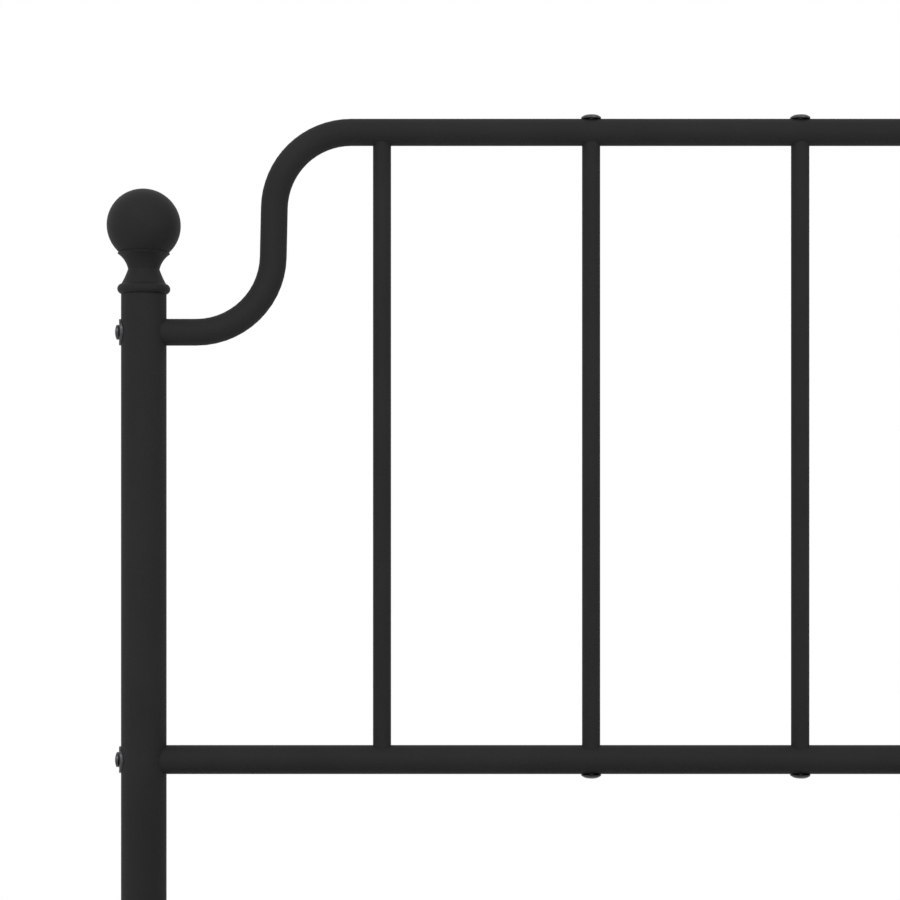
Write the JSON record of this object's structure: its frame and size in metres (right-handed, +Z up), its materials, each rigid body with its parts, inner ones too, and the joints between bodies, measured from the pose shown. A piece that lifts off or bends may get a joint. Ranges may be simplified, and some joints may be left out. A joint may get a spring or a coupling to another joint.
{
  "type": "metal bed frame",
  "caption": "Single bed frame of black steel tube: swan-neck headboard with spindles and ball finials, bolted side rails, a slat deck and screw-adjusted middle feet.",
  "frame": {"origin": "on the floor, in the middle of the bed's overall length and width", "axes": "+X to the right as seen from the foot end, +Y along the bed towards the headboard, +Z up"},
  "size_m": [0.9944, 2.1006, 1],
  "materials": {
    "powder_coated_tube": "matte black powder coat with a fine orange peel",
    "powder_coated_slat": "matte black powder coat",
    "moulded_finial": "satin black moulded plastic",
    "black_zinc_fastener": "black zinc plated steel, semi-gloss",
    "moulded_foot_plastic": "black polyethylene, as moulded",
    "plated_insert": "bright zinc plated steel"
  },
  "bodies": {
    "frame": {"finial_ball_left": "moulded_finial", "finial_ball_right": "moulded_finial", "finial_collar_left": "moulded_finial", "finial_collar_right": "moulded_finial", "finial_studs": "plated_insert", "foot_base_rail": "powder_coated_tube", "foot_post_caps": "moulded_foot_plastic", "foot_post_left": "powder_coated_tube", "foot_post_right": "powder_coated_tube", "foot_top_rail": "powder_coated_tube", "head_base_rail": "powder_coated_tube", "head_lower_rail": "powder_coated_tube", "head_post_left": "powder_coated_tube", "head_post_right": "powder_coated_tube", "head_spindle_1": "powder_coated_tube", "head_spindle_2": "powder_coated_tube", "head_spindle_3": "powder_coated_tube", "head_spindle_4": "powder_coated_tube", "head_top_rail": "powder_coated_tube", "joiner_bolts": "black_zinc_fastener", "leg_inserts": "moulded_foot_plastic", "mid_leg_bolts": "black_zinc_fastener", "mid_leg_left": "powder_coated_tube", "mid_leg_right": "powder_coated_tube", "post_glides": "moulded_foot_plastic", "rail_bolts": "black_zinc_fastener", "rail_end_nuts": "plated_insert", "rail_joiner_left": "powder_coated_tube", "rail_joiner_right": "powder_coated_tube", "saddle_washers": "black_zinc_fastener", "side_rail_bolts": "black_zinc_fastener", "side_rail_end_nuts": "plated_insert", "side_rail_left_foot": "powder_coated_tube", "side_rail_left_head": "powder_coated_tube", "side_rail_right_foot": "powder_coated_tube", "side_rail_right_head": "powder_coated_tube", "slat_1": "powder_coated_slat", "slat_10": "powder_coated_slat", "slat_11": "powder_coated_slat", "slat_12": "powder_coated_slat", "slat_2": "powder_coated_slat", "slat_3": "powder_coated_slat", "slat_4": "powder_coated_slat", "slat_5": "powder_coated_slat", "slat_6": "powder_coated_slat", "slat_7": "powder_coated_slat", "slat_8": "powder_coated_slat", "slat_9": "powder_coated_slat", "slat_ledge_left_foot": "powder_coated_tube", "slat_ledge_left_head": "powder_coated_tube", "slat_ledge_right_foot": "powder_coated_tube", "slat_ledge_right_head": "powder_coated_tube", "slat_rivet_nuts": "plated_insert", "slat_screws": "black_zinc_fastener", "spindle_bolts": "black_zinc_fastener", "spindle_end_nuts": "plated_insert"},
    "left_foot": {"foot_spindle_left": "plated_insert", "foot_pad_left": "moulded_foot_plastic"},
    "right_foot": {"foot_spindle_right": "plated_insert", "foot_pad_right": "moulded_foot_plastic"}
  },
  "joints": [
    {"name": "left_foot_height", "type": "slide", "parent": "frame", "child": "left_foot", "axis": [0, 0, -1], "range_m": [-0.015, 0]},
    {"name": "right_foot_height", "type": "slide", "parent": "frame", "child": "right_foot", "axis": [0, 0, -1], "range_m": [-0.015, 0]}
  ]
}
